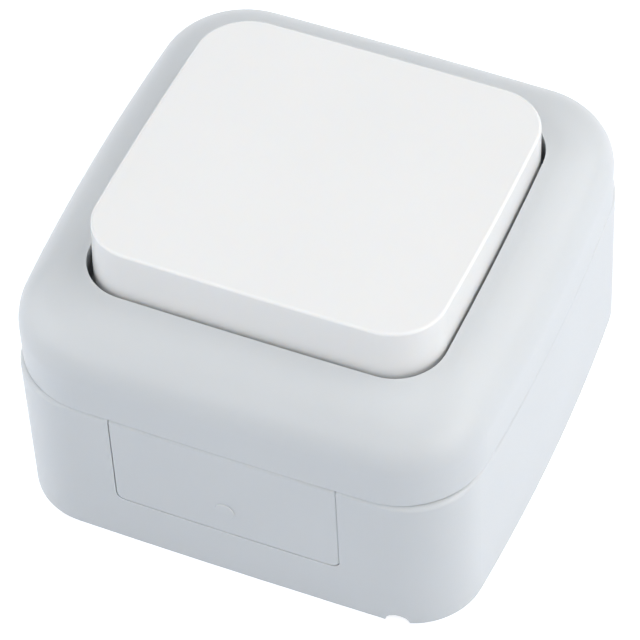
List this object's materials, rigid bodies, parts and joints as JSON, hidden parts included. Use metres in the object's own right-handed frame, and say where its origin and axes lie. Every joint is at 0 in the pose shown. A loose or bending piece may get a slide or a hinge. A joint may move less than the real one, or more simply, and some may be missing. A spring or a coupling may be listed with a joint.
{
  "type": "outdoor weatherproof switch",
  "caption": "Surface-mounted weatherproof light switch: pillow-shaped cover on a deep box with slide-in cable-entry panels, one large tilting rocker and its changeover mechanism inside.",
  "frame": {"origin": "centre of the bounding box's bottom, which is the middle of the back that lies against the wall", "axes": "+Z out of the wall through the rocker, -Y towards the side with the drain notch, which faces down on the wall, +X to the right when looking at the switch on the wall"},
  "size_m": [0.066, 0.0676, 0.045],
  "materials": {
    "housing_plastic": "light blue-grey moulded plastic, satin",
    "rocker_plastic": "white moulded plastic, gloss",
    "insert_plastic": "off-white moulded plastic, matt",
    "plunger_plastic": "natural slippery plastic",
    "seal_rubber": "black sealing rubber",
    "plate_steel": "zinc-plated sheet steel",
    "screw_steel": "zinc-plated screws and clamps",
    "spring_steel": "bright spring wire",
    "contact_brass": "stamped brass strip",
    "contact_silver": "silver contact faces"
  },
  "bodies": {
    "housing": {"back_box": "housing_plastic", "entry_panel_front": "housing_plastic", "entry_panel_rear": "housing_plastic", "cover_gasket": "seal_rubber", "cover_frame": "housing_plastic", "cover_screws": "screw_steel", "rocker_seal": "seal_rubber", "support_plate": "plate_steel", "plate_screws": "screw_steel", "mechanism_housing": "insert_plastic", "mechanism_lid": "insert_plastic", "mechanism_screws": "screw_steel", "common_terminal": "contact_brass", "first_way_terminal": "contact_brass", "second_way_terminal": "contact_brass", "fixed_contacts": "contact_silver", "terminal_clamps": "screw_steel", "terminal_screws": "screw_steel", "earth_terminal": "contact_brass", "earth_screws": "screw_steel"},
    "rocker": {"rocker_button": "rocker_plastic", "rocker_yoke": "insert_plastic", "plunger_spring": "spring_steel"},
    "plunger": {"plunger": "plunger_plastic"},
    "lever": {"contact_lever": "contact_brass", "moving_contacts": "contact_silver"}
  },
  "joints": [
    {"name": "rocker_tilt", "type": "hinge", "parent": "housing", "child": "rocker", "pos_m": [0, 0, 0.034], "axis": [1, 0, 0], "range_deg": [0, 7]},
    {"name": "plunger_slide", "type": "slide", "parent": "rocker", "child": "plunger", "axis": [0, 0.061, 0.9981], "range_m": [0, 0.0015], "stiffness_N_per_m": 300, "deforming": ["plunger_spring"]},
    {"name": "contact_lever_tilt", "type": "hinge", "parent": "housing", "child": "lever", "pos_m": [0, 0, 0.0155], "axis": [1, 0, 0], "range_deg": [-16, 0]}
  ],
  "couplings": [
    {"joint": "contact_lever_tilt", "follows": "rocker_tilt", "ratio": -2.2857}
  ]
}
